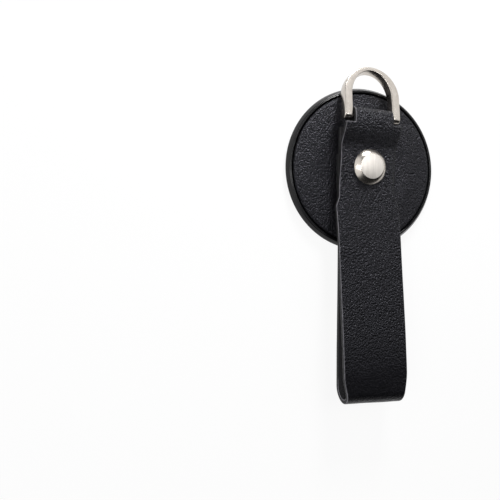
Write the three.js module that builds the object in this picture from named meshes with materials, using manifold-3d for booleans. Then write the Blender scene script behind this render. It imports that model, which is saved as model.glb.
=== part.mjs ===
// A leather phone grip: a stud-fixed finger loop and a hanging ring on a round adhesive base.
// Millimetres. The origin is the centre of the adhesive back, +Z points out of the grip's front,
// +Y runs from the stud towards the ring, and the loop hangs along -Y.

import * as THREE from 'three'
import { mergeVertices } from 'three/addons/utils/BufferGeometryUtils.js'
import Module from 'manifold-3d'

const wasm = await Module()
wasm.setup()

// Clearances between pieces
const SEAT_GAP = 0.05
const RUNNING_GAP = 0.1
const LAYER_GAP = 0.05

// Adhesive pad and base plate
const PAD_THICK = 0.45
const PAD_MARGIN = 0.8
const BASE_RADIUS = 20
const BASE_THICK = 1.35
const BASE_FLOOR = 0.75
const RIM_TAPER = 0.75
const RIM_EDGE_ROUND = 0.3
const RIM_WIDTH = 0.55
const BASE_SEGMENTS = 64

// Leather inlay in the base plate
const GROOVE_WIDTH = 0.3
const INLAY_SEAT_THICK = 0.45
const INLAY_CROWN = 0.4
const INLAY_EDGE_HEIGHT = 0.35
const INLAY_EDGE_ROUND = 0.7
const INLAY_EDGE_RISE = 0.42
const INLAY_FACE_STEPS = 10

// Strap leather and its widths
const LEATHER = 1
const NARROW_WIDTH = 14.6
const WIDE_WIDTH = 16.5
const WIDE_START_Y = -9.8
const WIDE_END_Y = -49.4
const WIDTH_RAMP = 2.5
const SHOULDER_ROUND = 0.6
const LOOP_END_Y = -57.2
const LOOP_FRONT_Z = 8
const LOOP_BACK_Z = 1.25
const TAIL_LENGTH = 3.4
const CREST_RAMP = 4.5
const CREST_END = 16
const BACK_FALL_START = 0.31
const BACK_FALL_END = 0.73
const FRONT_BULGE = 16
const FRONT_RISE = 2
const HOLE_GAP = 0.2

// Stud: a head with a conical bevel on a post, screwed into a flanged nut
const STUD_RADIUS = 4.25
const STUD_FLAT_RADIUS = 3
const STUD_EDGE = 0.2
const STUD_BEVEL = 0.95
const POST_RADIUS = 1.4
const BARREL_WALL = 0.5
const BARREL_BOTTOM_WALL = 0.25
const FLANGE_RADIUS = 3.6
const FLANGE_THICK = 0.25
const STUD_SEGMENTS = 40

// Fold of leather at the strap's top, loose round the pin, which rides up and out in it
const FOLD_Y = 11.6
const FOLD_PLAY = 0.4
const FOLD_START = 80
const FOLD_HUMP = 4
const PIN_DRIFT = 0.2

// Ring and its pin
const PIN_RADIUS = 0.6
const PIN_SEGMENTS = 24
const RING_WIDTH = 14.6
const RING_LEG_WIDTH = 2.05
const RING_TOP_THICK = 1
const RING_DEPTH = 2.2
const RING_REACH = 12.3
const RING_LEAN = 9
const NECK_GAP = 0.2
const SHOULDER_GAP = 0.55

// Heights of the stack, from the adhesive back up to the stud
const baseBackZ = PAD_THICK + SEAT_GAP
const baseFloorZ = baseBackZ + BASE_FLOOR
const rimTopZ = baseBackZ + BASE_THICK
const inlayBackZ = baseFloorZ + SEAT_GAP
const inlaySeatZ = inlayBackZ + INLAY_SEAT_THICK
const bottomLayerZ = inlaySeatZ + SEAT_GAP + LEATHER / 2
const middleLayerZ = bottomLayerZ + LEATHER + LAYER_GAP
const frontLayerZ = middleLayerZ + LEATHER + LAYER_GAP
const studSeatZ = frontLayerZ + LEATHER / 2 + SEAT_GAP

// The fold of leather around the ring's pin, with the middle layer running straight off it
const foldRadius = PIN_RADIUS + FOLD_PLAY + LEATHER / 2
const foldZ = middleLayerZ + foldRadius
const pinY = FOLD_Y + PIN_DRIFT
const pinZ = foldZ + PIN_DRIFT
const legEndRound = RING_DEPTH / 2
const neckWidth = RING_WIDTH - 2 * RING_LEG_WIDTH - 2 * NECK_GAP
const shoulderY = pinY - legEndRound - SHOULDER_GAP

// Radii worked out from the base plate and the post
const rimInnerRadius = BASE_RADIUS - RIM_TAPER - RIM_WIDTH
const inlayRadius = rimInnerRadius - GROOVE_WIDTH
const seatRadius = Math.hypot(NARROW_WIDTH / 2, STUD_RADIUS + SEAT_GAP)
const barrelRadius = POST_RADIUS + SEAT_GAP + BARREL_WALL
const boreRadius = barrelRadius + RUNNING_GAP
const recessDepth = FLANGE_THICK + 2 * SEAT_GAP

const leather = { color: 0x1b1b1f, roughness: 0.55, metalness: 0 }
const nickel = { color: 0xc4beb2, roughness: 0.25, metalness: 1 }

// Turns an outline drawn from the side, x being Y and y being Z, into place
const sideAxes = new THREE.Matrix4().makeBasis(
  new THREE.Vector3(0, 1, 0), new THREE.Vector3(0, 0, 1), new THREE.Vector3(1, 0, 0))

// Turn a closed three.js geometry into a solid
function solidFrom(geometry) {
  geometry.deleteAttribute('normal')
  geometry.deleteAttribute('uv')
  const merged = mergeVertices(geometry)
  const vertProperties = Float32Array.from(merged.attributes.position.array)
  const triVerts = Uint32Array.from(merged.index.array)
  return new wasm.Manifold(new wasm.Mesh({ numProp: 3, vertProperties, triVerts }))
}

// Turn a solid back into a three.js mesh with a name and a finish
function meshFrom(name, solid, finish) {
  const result = solid.getMesh()
  const geometry = new THREE.BufferGeometry()
  geometry.setAttribute('position', new THREE.BufferAttribute(result.vertProperties, 3))
  geometry.setIndex(new THREE.BufferAttribute(result.triVerts, 1))
  geometry.computeVertexNormals()
  const mesh = new THREE.Mesh(geometry, new THREE.MeshStandardMaterial(finish))
  mesh.name = name
  return mesh
}

// A turned solid about +Z from a profile of [radius, z] points, listed from the bottom round to the top
function turned(profile, segments) {
  const points = profile.map(([radius, z]) => new THREE.Vector2(radius, z))
  const geometry = new THREE.LatheGeometry(points, segments)
  geometry.rotateX(Math.PI / 2)
  return solidFrom(geometry)
}

// A cylinder about +Z between two heights
function cylinder(radius, lowZ, highZ, segments = STUD_SEGMENTS) {
  return turned([[0, lowZ], [radius, lowZ], [radius, highZ], [0, highZ]], segments)
}

// A quarter-round of profile points about a centre, from one angle to another in degrees
function arcPoints(centreRadius, centreZ, round, fromDegrees, toDegrees, steps = 3) {
  const points = []
  for (let step = 0; step <= steps; step++) {
    const angle = THREE.MathUtils.degToRad(fromDegrees + (toDegrees - fromDegrees) * step / steps)
    points.push([centreRadius + round * Math.cos(angle), centreZ + round * Math.sin(angle)])
  }
  return points
}

function adhesivePad() {
  const pad = cylinder(BASE_RADIUS - PAD_MARGIN, 0, PAD_THICK, BASE_SEGMENTS)
  return meshFrom('adhesive_pad', pad, { color: 0x2a2a2c, roughness: 0.9, metalness: 0 })
}

// A shallow tray: flat floor, a raised rim with a tapered side, and a recess behind for the nut's flange
function basePlate() {
  const rimOuterRadius = BASE_RADIUS - RIM_TAPER
  const profile = [
    [boreRadius, baseBackZ + recessDepth],
    [FLANGE_RADIUS + RUNNING_GAP, baseBackZ + recessDepth],
    [FLANGE_RADIUS + RUNNING_GAP, baseBackZ],
    ...arcPoints(BASE_RADIUS - RIM_EDGE_ROUND, baseBackZ + RIM_EDGE_ROUND, RIM_EDGE_ROUND, -90, 20),
    ...arcPoints(rimOuterRadius - RIM_EDGE_ROUND / 2, rimTopZ - RIM_EDGE_ROUND, RIM_EDGE_ROUND, 30, 90),
    [rimInnerRadius, rimTopZ],
    [rimInnerRadius, baseFloorZ],
    [boreRadius, baseFloorZ],
    [boreRadius, baseBackZ + recessDepth],
  ]
  return meshFrom('base_plate', turned(profile, BASE_SEGMENTS), { color: 0x1d1d20, roughness: 0.35, metalness: 0.6 })
}

// Height of the inlay's padded face at a radius: flat under the stud, crowned, then down to the groove
function inlayFace(radius) {
  const edgeRadius = inlayRadius - INLAY_EDGE_ROUND
  const edgeZ = inlayBackZ + INLAY_EDGE_HEIGHT + INLAY_EDGE_RISE
  if (radius <= seatRadius) return inlaySeatZ
  const middleRadius = (seatRadius + edgeRadius) / 2
  const crownZ = inlaySeatZ + INLAY_CROWN
  const share = (radius - middleRadius) / (edgeRadius - middleRadius)
  const lowZ = share < 0 ? inlaySeatZ : edgeZ
  return lowZ + (crownZ - lowZ) * (0.5 + 0.5 * Math.cos(Math.PI * share))
}

function leatherInlay() {
  const edgeRadius = inlayRadius - INLAY_EDGE_ROUND
  const profile = [
    [boreRadius, inlayBackZ],
    [inlayRadius, inlayBackZ],
    [inlayRadius, inlayBackZ + INLAY_EDGE_HEIGHT],
  ]
  for (let step = 0; step <= INLAY_FACE_STEPS; step++) {
    const radius = edgeRadius + (seatRadius - edgeRadius) * step / INLAY_FACE_STEPS
    profile.push([radius, inlayFace(radius)])
  }
  profile.push([boreRadius, inlaySeatZ], [boreRadius, inlayBackZ])
  return meshFrom('leather_inlay', turned(profile, BASE_SEGMENTS), leather)
}

// The strap's middle line seen from its side, x being Y and y being Z, from the tail under the stud,
// down the back leg, round the loop's end, up the front leg, over the pin and back under the stud
function strapLine() {
  const turnRadius = (LOOP_FRONT_Z - LOOP_BACK_Z - LEATHER) / 2
  const turnY = LOOP_END_Y + turnRadius + LEATHER / 2
  const turnZ = (LOOP_FRONT_Z + LOOP_BACK_Z) / 2
  const backZ = LOOP_BACK_Z + LEATHER / 2
  const frontZ = LOOP_FRONT_Z - LEATHER / 2
  const crestZ = inlaySeatZ + INLAY_CROWN + RUNNING_GAP + LEATHER / 2
  const crestStartY = -STUD_RADIUS - CREST_RAMP
  const crestY = -CREST_END
  const legLength = turnY - crestY
  const frontFlatY = STUD_RADIUS + LEATHER / 2
  const foldStart = THREE.MathUtils.degToRad(FOLD_START)
  const foldStartY = FOLD_Y + foldRadius * Math.cos(foldStart)
  const foldStartZ = foldZ + foldRadius * Math.sin(foldStart)
  const line = new THREE.Path()
  line.moveTo(TAIL_LENGTH, bottomLayerZ)
  line.lineTo(-STUD_RADIUS, bottomLayerZ)
  line.bezierCurveTo(-STUD_RADIUS - CREST_RAMP / 3, bottomLayerZ,
    crestStartY + CREST_RAMP / 2, crestZ, crestStartY, crestZ)
  line.lineTo(crestY, crestZ)
  line.bezierCurveTo(crestY + BACK_FALL_START * legLength, crestZ,
    crestY + BACK_FALL_END * legLength, backZ, turnY, backZ)
  line.absarc(turnY, turnZ, turnRadius, -Math.PI / 2, Math.PI / 2, true)
  line.bezierCurveTo(turnY + FRONT_BULGE, frontZ, turnY + 2 * FRONT_BULGE, frontLayerZ, -frontFlatY, frontLayerZ)
  line.lineTo(frontFlatY, frontLayerZ)
  line.bezierCurveTo(frontFlatY + FRONT_RISE, frontLayerZ, foldStartY - FOLD_HUMP * Math.sin(foldStart),
    foldStartZ + FOLD_HUMP * Math.cos(foldStart), foldStartY, foldStartZ)
  line.absarc(FOLD_Y, foldZ, foldRadius, foldStart, -Math.PI / 2, true)
  line.lineTo(-TAIL_LENGTH, middleLayerZ)
  return line
}

// The strap's side outline: its middle line moved half a thickness to each side
function strapSection() {
  const middle = strapLine().getPoints(12)
  const last = middle.length - 1
  const oneSide = []
  const otherSide = []
  middle.forEach((point, index) => {
    const before = middle[Math.max(index - 1, 0)]
    const after = middle[Math.min(index + 1, last)]
    const along = after.clone().sub(before).normalize()
    const across = new THREE.Vector2(-along.y, along.x).multiplyScalar(LEATHER / 2)
    oneSide.push(point.clone().add(across))
    otherSide.unshift(point.clone().sub(across))
  })
  return new THREE.Shape([...oneSide, ...otherSide])
}

// The strap's outline from the front, with its neck between the ring's legs, and a wide stretch or none
function strapOutline(wideWidth) {
  const narrow = NARROW_WIDTH / 2
  const wide = wideWidth / 2
  const neck = neckWidth / 2
  const farY = LOOP_END_Y - LEATHER
  const topY = FOLD_Y + foldRadius + LEATHER
  const rampEnd = WIDE_START_Y + WIDTH_RAMP
  const rampBase = WIDE_END_Y - WIDTH_RAMP
  const half = new THREE.Path()
  half.moveTo(narrow, farY)
  half.lineTo(narrow, rampBase)
  half.bezierCurveTo(narrow, rampBase + WIDTH_RAMP / 2, wide, WIDE_END_Y - WIDTH_RAMP / 2, wide, WIDE_END_Y)
  half.lineTo(wide, WIDE_START_Y)
  half.bezierCurveTo(wide, WIDE_START_Y + WIDTH_RAMP / 2, narrow, rampEnd - WIDTH_RAMP / 2, narrow, rampEnd)
  half.lineTo(narrow, shoulderY - SHOULDER_ROUND)
  half.absarc(narrow - SHOULDER_ROUND, shoulderY - SHOULDER_ROUND, SHOULDER_ROUND, 0, Math.PI / 2, false)
  half.lineTo(neck, shoulderY)
  half.lineTo(neck, topY)
  const right = half.getPoints(4)
  const left = right.map((point) => new THREE.Vector2(-point.x, point.y)).reverse()
  return new THREE.Shape([...right, ...left])
}

// A straight-sided block of an outline between two heights
function prism(shape, lowZ, highZ) {
  const geometry = new THREE.ExtrudeGeometry(shape, { depth: highZ - lowZ, bevelEnabled: false, curveSegments: 6 })
  geometry.translate(0, 0, lowZ)
  return solidFrom(geometry)
}

// One leather strip, folded: wide only along the front leg, narrow behind, necked at the pin
function strap() {
  const side = new THREE.ExtrudeGeometry(strapSection(), { depth: WIDE_WIDTH + LEATHER, bevelEnabled: false })
  side.translate(0, 0, -(WIDE_WIDTH + LEATHER) / 2)
  side.applyMatrix4(sideAxes)
  const splitZ = frontLayerZ - LEATHER / 2 - LAYER_GAP / 2
  const front = prism(strapOutline(WIDE_WIDTH), splitZ, LOOP_FRONT_Z + LEATHER)
  const back = prism(strapOutline(NARROW_WIDTH), 0, splitZ)
  const hole = cylinder(POST_RADIUS + HOLE_GAP, 0, LOOP_FRONT_Z)
  return meshFrom('strap', solidFrom(side).intersect(front.add(back)).subtract(hole), leather)
}

// Where the post's end and the nut's blind barrel meet, just above the flange
const barrelFloorZ = baseBackZ + SEAT_GAP + BARREL_BOTTOM_WALL
const postEndZ = barrelFloorZ + SEAT_GAP

function studCap() {
  const flatZ = studSeatZ + STUD_EDGE + STUD_BEVEL
  const profile = [
    [0, postEndZ],
    [POST_RADIUS, postEndZ],
    [POST_RADIUS, studSeatZ],
    [STUD_RADIUS, studSeatZ],
    [STUD_RADIUS, studSeatZ + STUD_EDGE],
    [STUD_FLAT_RADIUS, flatZ],
    [0, flatZ],
  ]
  return meshFrom('stud_cap', turned(profile, STUD_SEGMENTS), nickel)
}

// A flanged nut: its barrel fills the bore and the inlay, and the post screws into it from the front
function studNut() {
  const flangeBackZ = baseBackZ + SEAT_GAP
  const barrelTopZ = inlaySeatZ
  const profile = [
    [0, flangeBackZ],
    [FLANGE_RADIUS, flangeBackZ],
    [FLANGE_RADIUS, flangeBackZ + FLANGE_THICK],
    [barrelRadius, flangeBackZ + FLANGE_THICK],
    [barrelRadius, barrelTopZ],
    [POST_RADIUS + SEAT_GAP, barrelTopZ],
    [POST_RADIUS + SEAT_GAP, barrelFloorZ],
    [0, barrelFloorZ],
  ]
  return meshFrom('stud_nut', turned(profile, STUD_SEGMENTS), { color: 0x9a968e, roughness: 0.4, metalness: 1 })
}

// A rod along X through the pin's axis, in the ring's own frame
function rodAlongX(radius, length) {
  const geometry = new THREE.CylinderGeometry(radius, radius, length, PIN_SEGMENTS)
  geometry.rotateZ(Math.PI / 2)
  return solidFrom(geometry)
}

// The ring's outline from the front, its pin's axis at y = 0: straight legs and a round arch, thinner on top
function ringOutline() {
  const outer = RING_WIDTH / 2
  const inner = outer - RING_LEG_WIDTH
  const archY = RING_REACH - outer
  const innerRise = outer - RING_TOP_THICK
  const outline = new THREE.Shape()
  outline.moveTo(outer, -legEndRound)
  outline.lineTo(outer, archY)
  outline.absarc(0, archY, outer, 0, Math.PI, false)
  outline.lineTo(-outer, -legEndRound)
  outline.lineTo(-inner, -legEndRound)
  outline.lineTo(-inner, archY)
  outline.absellipse(0, archY, inner, innerRise, Math.PI, 0, true, 0)
  outline.lineTo(inner, -legEndRound)
  return outline
}

// The ring's outline from the side: as deep as its legs, with each leg's end rounded about the pin
function ringSide() {
  const halfDepth = RING_DEPTH / 2
  const crown = RING_REACH + RING_TOP_THICK
  const outline = new THREE.Shape()
  outline.moveTo(crown, -halfDepth)
  outline.lineTo(crown, halfDepth)
  outline.lineTo(0, halfDepth)
  outline.absarc(0, 0, legEndRound, Math.PI / 2, 3 * Math.PI / 2, false)
  const geometry = new THREE.ExtrudeGeometry(outline, { depth: 2 * RING_WIDTH, bevelEnabled: false, curveSegments: 12 })
  geometry.translate(0, 0, -RING_WIDTH)
  geometry.applyMatrix4(sideAxes)
  return solidFrom(geometry)
}

function ring() {
  const face = prism(ringOutline(), -RING_DEPTH / 2, RING_DEPTH / 2)
  const hole = rodAlongX(PIN_RADIUS + SEAT_GAP, 2 * RING_WIDTH)
  return meshFrom('ring', face.intersect(ringSide()).subtract(hole), nickel)
}

// The pin through both legs, its ends flush with their outer sides
function ringPin() {
  return meshFrom('ring_pin', rodAlongX(PIN_RADIUS, RING_WIDTH - 2 * SEAT_GAP), nickel)
}

// The ring and its pin lean back about the pin's axis
const ringGroup = new THREE.Group()
ringGroup.position.set(0, pinY, pinZ)
ringGroup.rotation.x = THREE.MathUtils.degToRad(-RING_LEAN)
ringGroup.add(ring(), ringPin())

const group = new THREE.Group()
group.add(adhesivePad(), basePlate(), leatherInlay(), strap(), studCap(), studNut(), ringGroup)

export default group
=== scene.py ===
import math

import bmesh
import bpy
from mathutils import Matrix, Vector, noise


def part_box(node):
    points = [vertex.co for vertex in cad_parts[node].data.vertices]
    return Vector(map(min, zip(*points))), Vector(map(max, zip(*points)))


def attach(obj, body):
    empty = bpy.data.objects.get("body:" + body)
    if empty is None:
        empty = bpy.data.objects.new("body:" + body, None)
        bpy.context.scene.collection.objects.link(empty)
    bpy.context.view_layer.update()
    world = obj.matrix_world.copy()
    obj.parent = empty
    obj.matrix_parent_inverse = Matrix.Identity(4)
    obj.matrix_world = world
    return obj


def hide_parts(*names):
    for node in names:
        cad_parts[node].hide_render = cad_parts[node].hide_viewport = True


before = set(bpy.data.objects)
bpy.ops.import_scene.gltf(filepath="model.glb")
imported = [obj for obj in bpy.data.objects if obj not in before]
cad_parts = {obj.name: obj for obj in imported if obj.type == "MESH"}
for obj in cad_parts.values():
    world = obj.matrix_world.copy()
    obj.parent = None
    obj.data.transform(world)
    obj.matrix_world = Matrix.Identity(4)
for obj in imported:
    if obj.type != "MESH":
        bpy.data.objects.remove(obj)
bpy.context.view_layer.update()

# A leather phone grip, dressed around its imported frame.
# Lengths are metres, and MM turns millimetres into them.

MM = 0.001

# Sizes read from the frame
_, pad_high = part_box("adhesive_pad")
base_low, base_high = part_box("base_plate")
inlay_low, inlay_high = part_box("leather_inlay")
strap_low, strap_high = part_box("strap")
stud_low, stud_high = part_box("stud_cap")
_, nut_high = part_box("stud_nut")
_, ring_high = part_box("ring")
pin_low, pin_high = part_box("ring_pin")

BASE_RADIUS = base_high.y
RIM_TOP = base_high.z
BASE_BACK = base_low.z
PAD_RADIUS = pad_high.y
INLAY_RADIUS = inlay_high.y
INLAY_BACK = inlay_low.z
STUD_RADIUS = stud_high.y
STUD_TOP = stud_high.z
PIN_Y = (pin_low.y + pin_high.y) / 2
PIN_Z = (pin_low.z + pin_high.z) / 2
RING_HALF_WIDTH = ring_high.x
WIDE_HALF = strap_high.x
LOOP_END_Y = strap_low.y
LOOP_BACK_Z = strap_low.z
LOOP_FRONT_Z = strap_high.z

# Sizes of the leather and its stack
LEATHER = 1.0 * MM
SEAT_GAP = 0.05 * MM
RUNNING_GAP = 0.1 * MM
NARROW_HALF = 7.3 * MM
WIDE_START_Y = -9.8 * MM
WIDE_END_Y = -49.4 * MM
TOP_RAMP = 3.0 * MM
TAIL_LENGTH = 3.4 * MM
INLAY_SEAT = 1.75 * MM
INLAY_CROWN = 0.4 * MM
INLAY_EDGE_ROUND = 0.7 * MM
INLAY_EDGE_HEIGHT = 0.77 * MM
STUD_BORE = 2.05 * MM
CREST_RAMP = 4.5 * MM
CREST_END = 16 * MM
BACK_FALL_START = 0.31
BACK_FALL_END = 0.73
FRONT_BULGE = 16 * MM
FRONT_RISE = 2 * MM
FOLD_START = 80
FOLD_HUMP = 4 * MM
PIN_DRIFT = 0.1 * MM
RING_LEG = 2.05 * MM
RING_TOP = 1.0 * MM
RING_DEPTH = 2.2 * MM
ROD_RADIUS = 0.45 * MM
RING_REACH = 12.3 * MM
RING_LEAN = 9
NECK_GAP = 0.25 * MM
SHOULDER_GAP = 1.05 * MM

bottom_layer_z = INLAY_SEAT + SEAT_GAP + LEATHER / 2
middle_layer_z = bottom_layer_z + LEATHER + SEAT_GAP
front_layer_z = middle_layer_z + LEATHER + SEAT_GAP
fold_y = PIN_Y - PIN_DRIFT
fold_z = PIN_Z - PIN_DRIFT
fold_radius = fold_z - middle_layer_z
neck_half = RING_HALF_WIDTH - RING_LEG - NECK_GAP
shoulder_y = PIN_Y - RING_DEPTH / 2 - SHOULDER_GAP

# How the worn leather sits: its top end turned a little with the ring, and its loop's end askew
TOP_TURN = -2.8
TOP_TILT = 1.1
TOP_ASIDE = 0.2 * MM
END_SKEW = 0.05


# Small helpers

def linear(hex_colour):
    """An sRGB hex colour as linear red, green, blue and alpha."""
    shares = [int(hex_colour[i:i + 2], 16) / 255 for i in (1, 3, 5)]
    return [c / 12.92 if c <= 0.04045 else ((c + 0.055) / 1.055) ** 2.4 for c in shares] + [1.0]


def add(tree, kind, inputs=None, **settings):
    """Add a node, set its properties, and give each named input a value or a socket to follow."""
    made = tree.nodes.new(kind)
    for name, value in settings.items():
        setattr(made, name, value)
    for name, value in (inputs or {}).items():
        if isinstance(value, bpy.types.NodeSocket):
            tree.links.new(value, made.inputs[name])
        else:
            made.inputs[name].default_value = value
    return made


def new_material(name):
    """An empty node material with its shader and its tree."""
    material = bpy.data.materials.new(name)
    material.use_nodes = True
    tree = material.node_tree
    return material, tree, tree.nodes["Principled BSDF"]


def set_inputs(shader, **values):
    """Set a shader's plain sockets, with underscores for the spaces in their names."""
    for name, value in values.items():
        shader.inputs[name.replace("_", " ")].default_value = value


def ramp(tree, fac, low, high, low_colour, high_colour):
    """A two-stop colour ramp between two places."""
    made = add(tree, "ShaderNodeValToRGB", {"Fac": fac})
    made.color_ramp.elements[0].position = low
    made.color_ramp.elements[1].position = high
    made.color_ramp.elements[0].color = low_colour
    made.color_ramp.elements[1].color = high_colour
    return made


def object_from(bm, name, materials, body, smooth=True):
    """Turn a bmesh into a piece that rides on a body."""
    mesh = bpy.data.meshes.new(name)
    bm.to_mesh(mesh)
    bm.free()
    for polygon in mesh.polygons:
        polygon.use_smooth = smooth
    piece = bpy.data.objects.new(name, mesh)
    bpy.context.scene.collection.objects.link(piece)
    for material in materials:
        mesh.materials.append(material)
    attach(piece, body)
    return piece


def spun(profile, name, materials, body, steps=180):
    """A turned piece about +Z from (radius, z) points, listed from the bottom round to the top."""
    bm = bmesh.new()
    verts = [bm.verts.new((radius, 0, z)) for radius, z in profile]
    edges = [bm.edges.new(pair) for pair in zip(verts, verts[1:])]
    bmesh.ops.spin(bm, geom=verts + edges, cent=(0, 0, 0), axis=(0, 0, 1), angle=2 * math.pi,
                   steps=steps, use_merge=True)
    bmesh.ops.remove_doubles(bm, verts=bm.verts, dist=1e-7)
    bmesh.ops.recalc_face_normals(bm, faces=bm.faces)
    return object_from(bm, name, materials, body)


def arc(centre_radius, centre_z, round_radius, from_degrees, to_degrees, steps=6):
    """Profile points on an arc."""
    points = []
    for i in range(steps + 1):
        angle = math.radians(from_degrees + (to_degrees - from_degrees) * i / steps)
        points.append((centre_radius + round_radius * math.cos(angle),
                       centre_z + round_radius * math.sin(angle)))
    return points


def bevel_modifier(piece, width, segments=3, angle=35):
    """A rounded edge wherever two faces meet more sharply than an angle."""
    bevel = piece.modifiers.new("edge_rounding", "BEVEL")
    bevel.width = width
    bevel.segments = segments
    bevel.limit_method = "ANGLE"
    bevel.angle_limit = math.radians(angle)
    bevel.harden_normals = False


# Materials

def object_noise(tree, size, detail):
    """Object coordinates, and a noise whose features have a real size."""
    coords = add(tree, "ShaderNodeTexCoord").outputs["Object"]
    made = add(tree, "ShaderNodeTexNoise", {"Vector": coords, "Scale": 1 / size, "Detail": detail})
    return coords, made.outputs["Fac"]


def toned(tree, shader, fac, low, high, dark, light):
    """Let the base colour run from a dark to a light tone along a pattern."""
    tone = ramp(tree, fac, low, high, linear(dark), linear(light))
    tree.links.new(tone.outputs["Color"], shader.inputs["Base Color"])


def between(tree, value, from_min, from_max, to_min, to_max, **settings):
    """A value mapped from one range to another."""
    inputs = {"Value": value, "From Min": from_min, "From Max": from_max, "To Min": to_min, "To Max": to_max}
    return add(tree, "ShaderNodeMapRange", inputs, **settings).outputs[0]


def roughened(tree, shader, fac, low, high):
    """Let the roughness vary along a pattern."""
    tree.links.new(between(tree, fac, 0.0, 1.0, low, high), shader.inputs["Roughness"])


def bumped(tree, shader, height, strength, distance):
    """Raise a pattern from the surface."""
    bump = add(tree, "ShaderNodeBump", {"Height": height, "Strength": strength, "Distance": distance})
    tree.links.new(bump.outputs[0], shader.inputs["Normal"])


def grain_height(tree, coords, cell):
    """The height of a leather grain: small domed cells with creases between, over a softer unevenness."""
    warp = add(tree, "ShaderNodeTexNoise", {"Vector": coords, "Scale": 1 / (3 * cell), "Detail": 1.0})
    offset = add(tree, "ShaderNodeVectorMath", {0: warp.outputs["Color"], "Scale": 0.8 * cell},
                 operation="SCALE")
    moved = add(tree, "ShaderNodeVectorMath", {0: coords, 1: offset.outputs[0]}, operation="ADD")
    cells = add(tree, "ShaderNodeTexVoronoi", {"Vector": moved.outputs[0], "Scale": 1 / cell})
    hollow = add(tree, "ShaderNodeMath", {0: cells.outputs["Distance"], 1: 2.0}, operation="POWER")
    soft = add(tree, "ShaderNodeTexNoise", {"Vector": coords, "Scale": 0.7 / cell, "Detail": 2.0})
    height = add(tree, "ShaderNodeMath", {0: hollow.outputs[0], 1: -1.2, 2: soft.outputs["Fac"]},
                 operation="MULTIPLY_ADD")
    return height.outputs[0]


def leather_grain(name, relief):
    """Full-grain calf leather, dyed black and lightly waxed: semi-matt, with a raised grain that sparkles."""
    material, tree, shader = new_material(name)
    coords, cloud = object_noise(tree, 5 * MM, 3.0)
    # Real grain is about 0.25 mm. It is drawn coarser so that it shows.
    cell = 0.42 * MM
    height = grain_height(tree, coords, cell)
    tone = ramp(tree, cloud, 0.35, 0.7, linear("#070709"), linear("#0a0a0d"))
    # Painted shade: the base colour is multiplied darker in the grain's creases, where shade falls between
    # the raised cells.
    crease_shade = ramp(tree, height, 0.0, 0.45, linear("#8a8a8e"), linear("#ffffff"))
    colour = add(tree, "ShaderNodeMix",
                 {"Factor": 1.0, "A": tone.outputs["Color"], "B": crease_shade.outputs["Color"]},
                 data_type="RGBA", blend_type="MULTIPLY")
    tree.links.new(colour.outputs["Result"], shader.inputs["Base Color"])
    tree.links.new(between(tree, height, 0.0, 0.5, 0.5, 0.3), shader.inputs["Roughness"])
    # The leather is stretched smooth where it turns at the loop's end
    place = add(tree, "ShaderNodeSeparateXYZ", {"Vector": coords})
    strength = between(tree, place.outputs["Y"], -50 * MM, -38 * MM, 0.25 * relief, relief)
    bumped(tree, shader, height, strength, 0.26 * MM)
    set_inputs(shader, IOR=1.5, Specular_IOR_Level=0.36, Specular_Tint=linear("#f0f0ff"))
    return material


def leather_edge():
    """Cut edge of dyed leather: matt black fibres in thin layers."""
    material, tree, shader = new_material("cut_leather_edge")
    _, fibre = object_noise(tree, 0.35 * MM, 4.0)
    toned(tree, shader, fibre, 0.35, 0.7, "#101012", "#1c1c1e")
    bumped(tree, shader, fibre, 0.5, 0.08 * MM)
    set_inputs(shader, Roughness=0.75, IOR=1.45)
    return material


def leather_corner():
    """Corner of the cut edge: a thin grey line that is a painted highlight, palest at the left, on the front
    layers and at the loop's end, where the light from the left catches it.
    """
    material, tree, shader = new_material("leather_corner_painted_highlight")
    coords, corner_noise = object_noise(tree, 1.2 * MM, 4.0)
    place = add(tree, "ShaderNodeSeparateXYZ", {"Vector": coords})
    # Painted highlight: the line is lit at the left, on the front layers and at the loop's end, and kept dark
    # on the back layers, where they lie in shade. The noise breaks the line up and also gives it a bump.
    left = between(tree, place.outputs["X"], -3 * MM, 3 * MM, 1.0, 0.3)
    upper = between(tree, place.outputs["Z"], 4.2 * MM, 4.8 * MM, 0.2, 1.0)
    loop_end = between(tree, place.outputs["Y"], -51 * MM, -54 * MM, 0.2, 1.4)
    outer = add(tree, "ShaderNodeMath", {0: upper, 1: loop_end}, operation="MAXIMUM")
    worn = add(tree, "ShaderNodeMath", {0: left, 1: outer.outputs[0]}, operation="MULTIPLY")
    amount = add(tree, "ShaderNodeMath", {0: corner_noise, 1: worn.outputs[0]}, operation="MULTIPLY")
    toned(tree, shader, amount.outputs[0], 0.1, 0.65, "#101012", "#66646a")
    bumped(tree, shader, corner_noise, 0.4, 0.05 * MM)
    set_inputs(shader, Roughness=0.55, IOR=1.45)
    return material


def leather_flesh():
    """Flesh side of the leather, shaved and dyed: a matt, napped grey-black."""
    material, tree, shader = new_material("napped_flesh_side")
    _, nap = object_noise(tree, 0.25 * MM, 5.0)
    toned(tree, shader, nap, 0.3, 0.7, "#1c1c1e", "#2e2d30")
    bumped(tree, shader, nap, 0.6, 0.06 * MM)
    set_inputs(shader, Roughness=0.9, IOR=1.45)
    return material


def polished_nickel():
    """Nickel-plated die-cast zinc, polished: a warm light-grey mirror with the faintest ripple."""
    material, tree, shader = new_material("polished_nickel_plate")
    _, haze = object_noise(tree, 1.5 * MM, 3.0)
    toned(tree, shader, haze, 0.3, 0.7, "#c3bcb4", "#cfc8c0")
    roughened(tree, shader, haze, 0.2, 0.3)
    bumped(tree, shader, haze, 0.15, 0.02 * MM)
    set_inputs(shader, Metallic=1.0)
    return material


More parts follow.
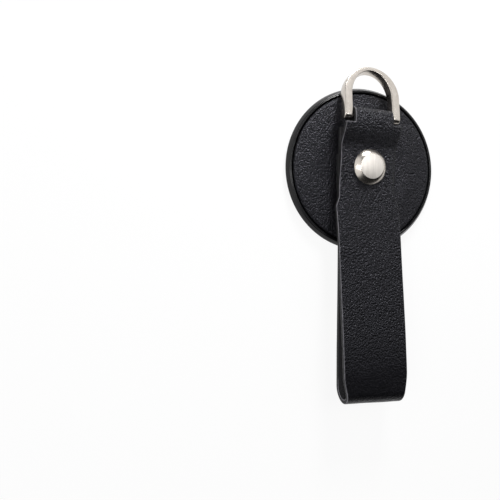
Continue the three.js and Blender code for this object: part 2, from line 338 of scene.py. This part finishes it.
def brushed_nickel():
    """Nickel plate brushed in one direction: pale, with fine parallel lines along the strap."""
    material, tree, shader = new_material("brushed_nickel_plate")
    coords = add(tree, "ShaderNodeTexCoord").outputs["Object"]
    # Real brush lines are about 0.05 mm apart. They are drawn coarser so that they show.
    line = 0.12 * MM
    stretched = add(tree, "ShaderNodeMapping",
                    {"Vector": coords, "Scale": (1 / line, 0.03 / line, 0.03 / line)})
    lines = add(tree, "ShaderNodeTexNoise", {"Vector": stretched.outputs[0], "Scale": 1.0, "Detail": 3.0})
    toned(tree, shader, lines.outputs["Fac"], 0.3, 0.7, "#d3cdc6", "#ece7e1")
    roughened(tree, shader, lines.outputs["Fac"], 0.32, 0.46)
    bumped(tree, shader, lines.outputs["Fac"], 0.35, 0.02 * MM)
    set_inputs(shader, Metallic=1.0)
    return material


def black_rim():
    """Pressed steel with black stove paint: smooth and dark, satin to gloss, with a slight orange-peel."""
    material, tree, shader = new_material("satin_black_paint")
    _, peel = object_noise(tree, 0.5 * MM, 2.0)
    toned(tree, shader, peel, 0.3, 0.7, "#0b0b0d", "#101012")
    roughened(tree, shader, peel, 0.16, 0.22)
    bumped(tree, shader, peel, 0.12, 0.03 * MM)
    set_inputs(shader, IOR=1.5, Specular_IOR_Level=0.3)
    return material


def foam_tape():
    """Closed-cell acrylic foam tape: dull grey-black with fine pores."""
    material, tree, shader = new_material("acrylic_foam_tape")
    coords = add(tree, "ShaderNodeTexCoord").outputs["Object"]
    pores = add(tree, "ShaderNodeTexVoronoi", {"Vector": coords, "Scale": 1 / (0.3 * MM)})
    toned(tree, shader, pores.outputs["Distance"], 0.1, 0.6, "#202022", "#38383b")
    bumped(tree, shader, pores.outputs["Distance"], 0.3, 0.03 * MM)
    set_inputs(shader, Roughness=0.85, IOR=1.45)
    return material


def turned_steel():
    """Plain turned steel, zinc-plated: grey, with fine rings from the tool."""
    material, tree, shader = new_material("turned_zinc_plated_steel")
    coords = add(tree, "ShaderNodeTexCoord").outputs["Object"]
    rings = add(tree, "ShaderNodeTexWave", {"Vector": coords, "Scale": 1 / (1.2 * MM), "Distortion": 0.5},
                wave_type="RINGS", rings_direction="Z")
    toned(tree, shader, rings.outputs["Fac"], 0.2, 0.8, "#8f8d89", "#aaa8a3")
    bumped(tree, shader, rings.outputs["Fac"], 0.2, 0.02 * MM)
    set_inputs(shader, Metallic=1.0, Roughness=0.4)
    return material


LEATHER_FACE = leather_grain("full_grain_black_calf", 1.0)
PADDED_FACE = leather_grain("padded_black_calf", 0.7)
LEATHER_EDGE = leather_edge()
LEATHER_CORNER = leather_corner()
LEATHER_FLESH = leather_flesh()
NICKEL = polished_nickel()
BRUSHED = brushed_nickel()
RIM_PAINT = black_rim()
FOAM = foam_tape()
STEEL = turned_steel()


# Adhesive pad and base tray

def adhesive_pad():
    """The foam pad, with soft cut edges."""
    edge = 0.12 * MM
    top = pad_high.z
    profile = [(0, 0)]
    profile += arc(PAD_RADIUS - edge, edge, edge, -90, 0, 4)
    profile += arc(PAD_RADIUS - edge, top - edge, edge, 0, 90, 4)
    profile += [(0, top)]
    piece = spun(profile, "foam_pad", [FOAM], "base", steps=128)
    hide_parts("adhesive_pad")


def base_tray():
    """The tray: a rounded side that tapers to the rim, a thin raised bead inside it, and the floor."""
    rim_taper = 0.75 * MM
    rim_width = 0.55 * MM
    side_round = 0.3 * MM
    bead = 0.11 * MM
    floor_z = INLAY_BACK - SEAT_GAP
    flange = nut_high.y + RUNNING_GAP
    recess_z = BASE_BACK + 0.35 * MM
    rim_outer = BASE_RADIUS - rim_taper
    rim_inner = rim_outer - rim_width
    profile = [(STUD_BORE, recess_z), (flange, recess_z), (flange, BASE_BACK)]
    profile += arc(BASE_RADIUS - side_round, BASE_BACK + side_round, side_round, -90, 20)
    profile += arc(rim_outer - side_round / 2, RIM_TOP - side_round, side_round, 30, 80)
    profile += [(rim_inner + 3.2 * bead, RIM_TOP - 0.4 * bead)]
    profile += arc(rim_inner + 1.6 * bead, RIM_TOP - 0.9 * bead, 0.9 * bead, 40, 180)
    profile += [(rim_inner, RIM_TOP - 2.4 * bead), (rim_inner, floor_z)]
    profile += [(STUD_BORE, floor_z), (STUD_BORE, recess_z)]
    piece = spun(profile, "rim_tray", [RIM_PAINT], "base", steps=220)
    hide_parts("base_plate")


def inlay_height(radius):
    """The inlay's padded face: flat under the stud, crowned, then rounded down to the groove."""
    seat_radius = math.hypot(NARROW_HALF, STUD_RADIUS)
    edge_radius = INLAY_RADIUS - INLAY_EDGE_ROUND
    edge_z = INLAY_BACK + INLAY_EDGE_HEIGHT
    if radius <= seat_radius:
        return INLAY_SEAT
    middle = (seat_radius + edge_radius) / 2
    share = (radius - middle) / (edge_radius - middle)
    low = INLAY_SEAT if share < 0 else edge_z
    return low + (INLAY_SEAT + INLAY_CROWN - low) * (0.5 + 0.5 * math.cos(math.pi * share))


def leather_inlay():
    """The padded leather disc, with its edge turned down into the groove."""
    back_chamfer = 0.1 * MM
    back_height = 0.12 * MM
    edge_steps = 8
    face_steps = 40
    edge_radius = INLAY_RADIUS - INLAY_EDGE_ROUND
    edge_z = inlay_height(edge_radius)
    edge_rise = edge_z - INLAY_BACK - back_height
    profile = [(STUD_BORE, INLAY_BACK), (INLAY_RADIUS - back_chamfer, INLAY_BACK)]
    for i in range(edge_steps + 1):
        angle = math.pi / 2 * i / edge_steps
        profile.append((edge_radius + INLAY_EDGE_ROUND * math.cos(angle),
                        edge_z - edge_rise + edge_rise * math.sin(angle)))
    for i in range(1, face_steps + 1):
        radius = edge_radius + (STUD_BORE - edge_radius) * i / face_steps
        profile.append((radius, inlay_height(radius)))
    profile.append((STUD_BORE, INLAY_BACK))
    piece = spun(profile, "inlay_disc", [PADDED_FACE], "base", steps=220)
    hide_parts("leather_inlay")


# The strap

def bezier(start, first, second, end, steps):
    """Points on a cubic curve, without its first one."""
    points = []
    for i in range(1, steps + 1):
        t = i / steps
        s = 1 - t
        points.append(tuple(s ** 3 * a + 3 * s * s * t * b + 3 * s * t * t * c + t ** 3 * d
                            for a, b, c, d in zip(start, first, second, end)))
    return points


def straight(start, end, steps):
    """Points on a straight line, without its first one."""
    return [tuple(a + (b - a) * i / steps for a, b in zip(start, end)) for i in range(1, steps + 1)]


def turn(centre, radius, from_degrees, to_degrees, steps):
    """Points on an arc, without its first one."""
    points = []
    for i in range(1, steps + 1):
        angle = math.radians(from_degrees + (to_degrees - from_degrees) * i / steps)
        points.append((centre[0] + radius * math.cos(angle), centre[1] + radius * math.sin(angle)))
    return points


def strap_path():
    """The strap's middle line as (y, z, leg) stations, from the tail under the stud to the other tail."""
    turn_radius = (LOOP_FRONT_Z - LOOP_BACK_Z - LEATHER) / 2
    turn_y = LOOP_END_Y + turn_radius + LEATHER / 2
    turn_z = (LOOP_FRONT_Z + LOOP_BACK_Z) / 2
    back_z = LOOP_BACK_Z + LEATHER / 2
    front_z = LOOP_FRONT_Z - LEATHER / 2
    crest_z = INLAY_SEAT + INLAY_CROWN + RUNNING_GAP + LEATHER / 2
    crest_start = -STUD_RADIUS - CREST_RAMP
    leg_length = turn_y + CREST_END
    flat_y = STUD_RADIUS + LEATHER / 2
    fold_angle = math.radians(FOLD_START)
    fold_point = (fold_y + fold_radius * math.cos(fold_angle), fold_z + fold_radius * math.sin(fold_angle))
    fold_before = (fold_point[0] - FOLD_HUMP * math.sin(fold_angle),
                   fold_point[1] + FOLD_HUMP * math.cos(fold_angle))
    start = (TAIL_LENGTH, bottom_layer_z)
    stud_edge = (-STUD_RADIUS, bottom_layer_z)
    crest = (crest_start, crest_z)
    crest_end = (-CREST_END, crest_z)
    turn_low = (turn_y, back_z)
    turn_high = (turn_y, front_z)
    flat_end = (-flat_y, front_layer_z)
    flat_start = (flat_y, front_layer_z)
    stretches = [
        ("back", [start]),
        ("back", straight(start, stud_edge, 12)),
        ("back", bezier(stud_edge, (-STUD_RADIUS - CREST_RAMP / 3, bottom_layer_z),
                        (crest_start + CREST_RAMP / 2, crest_z), crest, 10)),
        ("back", straight(crest, crest_end, 12)),
        ("back", bezier(crest_end, (-CREST_END + BACK_FALL_START * leg_length, crest_z),
                        (-CREST_END + BACK_FALL_END * leg_length, back_z), turn_low, 60)),
        ("turn", turn((turn_y, turn_z), turn_radius, -90, -180, 20)),
        ("front", turn((turn_y, turn_z), turn_radius, -180, -270, 20)),
        ("front", bezier(turn_high, (turn_y + FRONT_BULGE, front_z),
                         (turn_y + 2 * FRONT_BULGE, front_layer_z), flat_end, 110)),
        ("front", straight(flat_end, flat_start, 36)),
        ("front", bezier(flat_start, (flat_y + FRONT_RISE, front_layer_z), fold_before, fold_point, 34)),
        ("fold", turn((fold_y, fold_z), fold_radius, FOLD_START, -90, 30)),
        ("tail", straight((fold_y, middle_layer_z), (-TAIL_LENGTH, middle_layer_z), 30)),
    ]
    return [(y, z, leg) for leg, points in stretches for y, z in points]


def smooth_step(value, low=0.0, high=1.0):
    """A smooth rise from 0 at one value to 1 at another."""
    share = min(max((value - low) / (high - low), 0.0), 1.0)
    return share * share * (3 - 2 * share)


def half_width(y, leg):
    """Half the strap's width at a station: wide only along the front leg."""
    if leg != "front":
        return NARROW_HALF
    from_end = smooth_step(y, LOOP_END_Y, WIDE_END_Y)
    from_top = 1 - smooth_step(y, WIDE_START_Y, WIDE_START_Y + TOP_RAMP)
    return NARROW_HALF + (WIDE_HALF - NARROW_HALF) * min(from_end, from_top)


def beside_neck(y, leg):
    """Whether the strap is cut away at its sides here, for the ring's legs."""
    return leg in ("front", "fold", "tail") and y > shoulder_y


def flat_size(path):
    """The strip's length and its flat area, before it is folded."""
    length, area = 0.0, 0.0
    for (y, z, leg), (next_y, next_z, _) in zip(path, path[1:]):
        step = math.hypot(next_y - y, next_z - z)
        length += step
        area += step * 2 * (neck_half if beside_neck(y, leg) else half_width(y, leg))
    return length, area


def aside(y, leg):
    """How far the front leg lies to the left of the middle, most just below the stud."""
    if leg != "front":
        return 0.0
    most_y = -6 * MM
    reach = 6.5 * MM
    below_stud = 0.6 * MM * math.exp(-((y - most_y) / reach) ** 2)
    whole_leg = 0.12 * MM * smooth_step(y, LOOP_END_Y, LOOP_END_Y + 14 * MM)
    towards_fold = smooth_step(y, -2 * MM, 9 * MM)
    return -(below_stud + whole_leg) * (1 - towards_fold)


# Creases in the front leg: one end, the other end and the depth, all in millimetres
CREASES = (
    ((-7.4, 3.0), (-5.6, 4.2), 0.16),
    ((-6.6, 5.4), (-3.0, 6.3), 0.08),
    ((4.3, -2.2), (6.9, -5.2), 0.15),
    ((5.2, -1.4), (7.2, -2.6), 0.12),
    ((2.4, -5.6), (4.6, -7.4), 0.07),
    ((3.6, 5.0), (6.6, 5.8), 0.08),
)
CREASE_WIDTH = 0.3
STUD_DENT = 0.13 * MM
STUD_DENT_WIDTH = 0.8 * MM
CURL = 0.5 * MM
CURL_START_X = 3.0 * MM
CURL_WIDTH = 4.3 * MM


def pressed_in(x, y):
    """How far the front leg's face is pressed in: round the stud, at its creases and down its right side."""
    from_edge = math.hypot(x, y) - STUD_RADIUS
    total = STUD_DENT * math.exp(-(from_edge / STUD_DENT_WIDTH) ** 2)
    for (x0, y0), (x1, y1), depth in CREASES:
        px, py = x / MM - x0, y / MM - y0
        dx, dy = x1 - x0, y1 - y0
        along = min(max((px * dx + py * dy) / (dx * dx + dy * dy), 0.0), 1.0)
        away = math.hypot(px - dx * along, py - dy * along)
        fade = math.sin(math.pi * min(max(along, 0.06), 0.94))
        total += depth * MM * fade * math.exp(-(away / CREASE_WIDTH) ** 2)
    curl = max(x - CURL_START_X, 0) / CURL_WIDTH
    beside_stud = smooth_step(y, -7 * MM, -2 * MM) * (1 - smooth_step(y, 0, 9 * MM))
    return total + CURL * curl * curl * beside_stud


def settled(point, leg):
    """Move a point to where the worn leather sits: the strap's top end turned, its loop's end askew."""
    x, y, z = point
    if leg in ("front", "fold", "tail"):
        share = smooth_step(y, 1 * MM, 9.5 * MM)
        pin = Vector((0, PIN_Y, PIN_Z))
        turned = Matrix.Rotation(math.radians(TOP_TURN * share), 3, "Z")
        tilted = Matrix.Rotation(math.radians(TOP_TILT * share), 3, "Y")
        x, y, z = turned @ tilted @ (Vector(point) - pin) + pin + Vector((TOP_ASIDE * share, 0, 0))
    end = 1 - smooth_step(y, LOOP_END_Y, LOOP_END_Y + 9 * MM)
    return Vector((x, y - END_SKEW * x * end, z))


def leather_strap():
    """The strap: one strip cut with a neck, given its thickness, and carried along its path."""
    unevenness = 0.05 * MM
    unevenness_size = 5 * MM
    path = strap_path()
    count = len(path) - 1
    side_columns = 6
    middle_columns = 26
    columns = middle_columns + 2 * side_columns
    bm = bmesh.new()
    bmesh.ops.create_grid(bm, x_segments=columns, y_segments=count, size=0.5)
    column_of = bm.verts.layers.int.new("column")
    row_of = bm.verts.layers.int.new("row")
    for vert in bm.verts:
        vert[column_of] = round((vert.co.x + 0.5) * columns)
        vert[row_of] = round((vert.co.y + 0.5) * count)
    cut_away = []
    for face in bm.faces:
        middle_column = sum(vert[column_of] for vert in face.verts) / 4
        row = min(vert[row_of] for vert in face.verts)
        y, _, leg = path[row]
        outside = middle_column < side_columns or middle_column > columns - side_columns
        if outside and beside_neck(y, leg):
            cut_away.append(face)
    bmesh.ops.delete(bm, geom=cut_away, context="FACES")
    grown = bmesh.ops.extrude_face_region(bm, geom=list(bm.faces))["geom"]
    grain = {item for item in grown if isinstance(item, bmesh.types.BMVert)}
    for face in bm.faces:
        on_grain = sum(vert in grain for vert in face.verts)
        face.material_index = {4: 0, 0: 1}.get(on_grain, 2)
    for vert in bm.verts:
        column, row = vert[column_of], vert[row_of]
        y, z, leg = path[row]
        before, after = path[max(row - 1, 0)], path[min(row + 1, count)]
        along = Vector((0, after[0] - before[0], after[1] - before[1])).normalized()
        outward = Vector((0, -along.z, along.y))
        half = half_width(y, leg)
        inner = column - side_columns
        if inner < 0:
            x = -half + (half - neck_half) * column / side_columns
        elif inner > middle_columns:
            x = half - (half - neck_half) * (columns - column) / side_columns
        else:
            x = neck_half * (2 * inner / middle_columns - 1)
        lift = LEATHER / 2 if vert in grain else -LEATHER / 2
        if vert in grain:
            lift += unevenness * noise.noise(Vector((x, y, z)) / unevenness_size)
            lift -= pressed_in(x, y) if leg == "front" else 0.0
        vert.co = settled(Vector((x + aside(y, leg), y, z)) + outward * lift, leg)
    bmesh.ops.recalc_face_normals(bm, faces=bm.faces)
    finishes = [LEATHER_FACE, LEATHER_FLESH, LEATHER_EDGE, LEATHER_CORNER]
    piece = object_from(bm, "leather_strap", finishes, "loop")
    bevel_modifier(piece, 0.16 * MM, 3, 50)
    piece.modifiers["edge_rounding"].material = 3
    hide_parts("strap")
    length, area = flat_size(path)


# Stud, nut, ring and pin

def stud_head():
    """The stud: a brushed flat top, a polished cone round it, and the post below."""
    flat_radius = 3.0 * MM
    post_radius = 1.4 * MM
    seat_z = front_layer_z + LEATHER / 2 + SEAT_GAP
    edge_z = seat_z + 0.2 * MM
    round_edge = 0.06 * MM
    profile = [(0, stud_low.z), (post_radius, stud_low.z), (post_radius, seat_z)]
    profile += [(STUD_RADIUS - round_edge, seat_z), (STUD_RADIUS, seat_z + round_edge)]
    profile += [(STUD_RADIUS, edge_z - round_edge), (STUD_RADIUS - round_edge, edge_z + round_edge / 2)]
    profile += [(flat_radius + round_edge, STUD_TOP - round_edge / 2)]
    profile += [(flat_radius - round_edge, STUD_TOP), (0, STUD_TOP)]
    piece = spun(profile, "stud_head", [NICKEL, BRUSHED], "loop", steps=128)
    for polygon in piece.data.polygons:
        if polygon.center.z > STUD_TOP - 1e-6:
            polygon.material_index = 1
    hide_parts("stud_cap")


def flanged_nut():
    """The nut's own node keeps its shape and gets its finish."""
    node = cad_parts["stud_nut"]
    node.data.materials.clear()
    node.data.materials.append(STEEL)


def ring_place():
    """The ring's place: leaning back about its pin, and turned a little with the top of the strap."""
    turned = Matrix.Rotation(math.radians(TOP_TURN), 4, "Z")
    tilted = Matrix.Rotation(math.radians(TOP_TILT), 4, "Y")
    leaned = Matrix.Rotation(math.radians(-RING_LEAN), 4, "X")
    return Matrix.Translation((TOP_ASIDE, PIN_Y, PIN_Z)) @ turned @ tilted @ leaned


def verts_of(geometry):
    """The vertices in an operator's result."""
    return [item for item in geometry if isinstance(item, bmesh.types.BMVert)]


def edges_of(geometry):
    """The edges in an operator's result."""
    return [item for item in geometry if isinstance(item, bmesh.types.BMEdge)]


def horseshoe_ring():
    """The ring: one leg extruded up, spun over the arch, extruded down, then given its depth."""
    outer = RING_HALF_WIDTH
    inner = outer - RING_LEG
    arch_y = RING_REACH - outer
    end_round = RING_DEPTH / 2
    bm = bmesh.new()
    ends = [bm.verts.new((x, -end_round, -RING_DEPTH / 2)) for x in (inner, outer)]
    foot = bm.edges.new(ends)
    leg = bmesh.ops.extrude_edge_only(bm, edges=[foot])["geom"]
    top = verts_of(leg)
    bmesh.ops.translate(bm, vec=(0, arch_y + end_round, 0), verts=top)
    top_edges = [edge for edge in edges_of(leg) if all(vert in top for vert in edge.verts)]
    swept = bmesh.ops.spin(bm, geom=top + top_edges, cent=(0, arch_y, 0), axis=(0, 0, 1), angle=math.pi,
                           steps=72)
    other = bmesh.ops.extrude_edge_only(bm, edges=edges_of(swept["geom_last"]))["geom"]
    bmesh.ops.translate(bm, vec=(0, -arch_y - end_round, 0), verts=verts_of(other))
    stretch = (outer - RING_TOP) / inner
    for vert in bm.verts:
        rise = vert.co.y - arch_y
        if rise > 0 and math.hypot(vert.co.x, rise) < inner + 0.1 * MM:
            vert.co.y = arch_y + rise * stretch
    bmesh.ops.remove_doubles(bm, verts=bm.verts, dist=1e-7)
    block = bmesh.ops.extrude_face_region(bm, geom=list(bm.faces))["geom"]
    bmesh.ops.translate(bm, vec=(0, 0, RING_DEPTH), verts=verts_of(block))
    bmesh.ops.recalc_face_normals(bm, faces=bm.faces)
    feet = [edge for edge in bm.edges
            if all(abs(vert.co.y + end_round) < 1e-7 for vert in edge.verts)
            and abs(edge.verts[0].co.x - edge.verts[1].co.x) > RING_LEG / 2]
    bmesh.ops.bevel(bm, geom=feet, offset=end_round - 0.02 * MM, segments=12, profile=0.5,
                    affect="EDGES", material=-1)
    bmesh.ops.transform(bm, matrix=ring_place(), verts=bm.verts)
    piece = object_from(bm, "horseshoe_ring", [NICKEL], "ring")
    bevel_modifier(piece, 0.2 * MM, 3, 35)
    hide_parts("ring")


def ring_pin():
    """The pin through the ring's legs, with softened ends."""
    bm = bmesh.new()
    bmesh.ops.create_cone(bm, cap_ends=True, segments=48, radius1=ROD_RADIUS, radius2=ROD_RADIUS,
                          depth=pin_high.x - pin_low.x)
    bmesh.ops.rotate(bm, cent=(0, 0, 0), matrix=Matrix.Rotation(math.pi / 2, 3, "Y"), verts=bm.verts)
    bmesh.ops.transform(bm, matrix=ring_place(), verts=bm.verts)
    piece = object_from(bm, "ring_pin_rod", [NICKEL], "ring")
    bevel_modifier(piece, 0.05 * MM, 2, 40)
    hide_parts("ring_pin")


# Floor, light and camera

IMAGE_SIZE = 500
SENSOR_WIDTH = 36.0
CAMERA_AZIMUTH = 28.35
CAMERA_HEIGHT_ANGLE = -8.74
CAMERA_ROLL = -1.50
CAMERA_DISTANCE = 110 * MM
FOCAL_PIXELS = 414.6
BASE_CENTRE_PIXEL = (359.98, 170.33)


def camera():
    """Look down on the lying grip from its left, with the base's centre at its place in the picture."""
    azimuth = math.radians(CAMERA_AZIMUTH)
    height = math.radians(CAMERA_HEIGHT_ANGLE)
    back = Vector((-math.sin(azimuth) * math.cos(height), math.sin(height),
                   math.cos(azimuth) * math.cos(height)))
    right = Vector((0, 1, 0)).cross(back).normalized()
    up = back.cross(right)
    towards = Matrix((right, up, back)).transposed()
    rolled = towards @ Matrix.Rotation(math.radians(CAMERA_ROLL), 3, "Z")
    pixel_x, pixel_y = BASE_CENTRE_PIXEL
    middle = IMAGE_SIZE / 2
    ray = Vector(((pixel_x - middle) / FOCAL_PIXELS, (middle - pixel_y) / FOCAL_PIXELS, -1))
    turned_to = rolled @ ray.rotation_difference(Vector((0, 0, -1))).to_matrix()
    data = bpy.data.cameras.new("camera")
    data.lens = FOCAL_PIXELS / IMAGE_SIZE * SENSOR_WIDTH
    data.sensor_width = SENSOR_WIDTH
    data.clip_start = 5 * MM
    data.clip_end = 20
    made = bpy.data.objects.new("camera", data)
    made.matrix_world = Matrix.Translation(back * CAMERA_DISTANCE) @ turned_to.to_4x4()
    bpy.context.scene.collection.objects.link(made)
    bpy.context.scene.camera = made


def white_where_seen(tree, surface, share):
    """Mix a shader with plain white for the camera and for mirrors, by a share."""
    path = add(tree, "ShaderNodeLightPath")
    seen = add(tree, "ShaderNodeMath", {0: path.outputs["Is Camera Ray"], 1: path.outputs["Is Glossy Ray"]},
               operation="MAXIMUM")
    through = add(tree, "ShaderNodeMath", {0: seen.outputs[0], 1: path.outputs["Is Transmission Ray"]},
                  operation="MAXIMUM")
    amount = add(tree, "ShaderNodeMath", {0: through.outputs[0], 1: share}, operation="MULTIPLY")
    white = add(tree, "ShaderNodeEmission", {"Color": (1, 1, 1, 1), "Strength": 1.0})
    return add(tree, "ShaderNodeMixShader", {0: amount.outputs[0], 1: surface, 2: white.outputs[0]})


def floor():
    """A plain white floor under the grip, which keeps a faint shadow."""
    bm = bmesh.new()
    bmesh.ops.create_grid(bm, x_segments=1, y_segments=1, size=3.0)
    mesh = bpy.data.meshes.new("floor")
    bm.to_mesh(mesh)
    bm.free()
    piece = bpy.data.objects.new("floor", mesh)
    piece.location.z = -0.02 * MM
    bpy.context.scene.collection.objects.link(piece)
    material, tree, shader = new_material("white_paper")
    set_inputs(shader, Base_Color=linear("#fafafa"), Roughness=0.9)
    mixed = white_where_seen(tree, shader.outputs[0], 0.88)
    tree.links.new(mixed.outputs[0], tree.nodes["Material Output"].inputs["Surface"])
    mesh.materials.append(material)


# The light tent's two bright sides: where each is, how bright, and the cosines between which it fades
TENT_DIM = 0.01
RIGHT_SIDE = (0.70, 0.45, 0.55)
RIGHT_BRIGHT = 1.0
RIGHT_EDGE = (0.77, 0.90)
LEFT_SIDE = (-0.78, 0.10, 0.46)
LEFT_BRIGHT = 1.0
LEFT_EDGE = (0.6, 0.76)


def tent_side(tree, towards, side, edge, bright):
    """How bright the tent is near one of its sides, by the cosine of the angle to the side's middle."""
    facing = add(tree, "ShaderNodeVectorMath", {0: towards, 1: Vector(side).normalized()},
                 operation="DOT_PRODUCT")
    return between(tree, facing.outputs["Value"], edge[0], edge[1], TENT_DIM, bright,
                   interpolation_type="SMOOTHSTEP")


def world_light():
    """A light tent: bright at the upper right, dim elsewhere, white low down, and white to the camera."""
    world = bpy.data.worlds.new("light_tent")
    bpy.context.scene.world = world
    world.use_nodes = True
    tree = world.node_tree
    background = tree.nodes["Background"]
    background.inputs["Color"].default_value = (1, 1, 1, 1)
    towards = add(tree, "ShaderNodeTexCoord").outputs["Generated"]
    right = tent_side(tree, towards, RIGHT_SIDE, RIGHT_EDGE, RIGHT_BRIGHT)
    left = tent_side(tree, towards, LEFT_SIDE, LEFT_EDGE, LEFT_BRIGHT)
    tent = add(tree, "ShaderNodeMath", {0: right, 1: left}, operation="MAXIMUM")
    height = add(tree, "ShaderNodeSeparateXYZ", {"Vector": towards})
    low_down = between(tree, height.outputs["Z"], 0.05, 0.2, 0.5, 0.0, interpolation_type="SMOOTHSTEP")
    path = add(tree, "ShaderNodeLightPath")
    mirrored = add(tree, "ShaderNodeMath", {0: low_down, 1: path.outputs["Is Glossy Ray"]},
                   operation="MULTIPLY")
    around = add(tree, "ShaderNodeMath", {0: tent.outputs[0], 1: mirrored.outputs[0]}, operation="MAXIMUM")
    strength = add(tree, "ShaderNodeMath", {0: around.outputs[0], 1: path.outputs["Is Camera Ray"]},
                   operation="MAXIMUM")
    tree.links.new(strength.outputs[0], background.inputs["Strength"])


def area_light(name, place, target, size, power, shape="RECTANGLE"):
    """A soft box at a place, aimed at a target."""
    data = bpy.data.lights.new(name, "AREA")
    data.shape = shape
    data.size, data.size_y = size
    data.energy = power
    made = bpy.data.objects.new(name, data)
    made.location = place
    made.rotation_euler = (Vector(place) - Vector(target)).to_track_quat("Z", "Y").to_euler()
    bpy.context.scene.collection.objects.link(made)


def lights():
    """A lamp from the top, a strip overhead for the soft shine, and a slim box at the left for the edges."""
    middle = (0, -10 * MM, 4 * MM)
    area_light("top_lamp", (0.02, 0.16, 0.075), middle, (0.04, 0.04), 0.34)
    area_light("strip_box", (0.07, 0.06, 0.25), middle, (0.016, 0.12), 0.07)
    area_light("edge_box", (-0.22, 0.02, 0.33), middle, (0.07, 0.28), 0.35)


adhesive_pad()
base_tray()
leather_inlay()
leather_strap()
stud_head()
flanged_nut()
horseshoe_ring()
ring_pin()
camera()
floor()
world_light()
lights()
bpy.context.scene.view_settings.view_transform = "Standard"
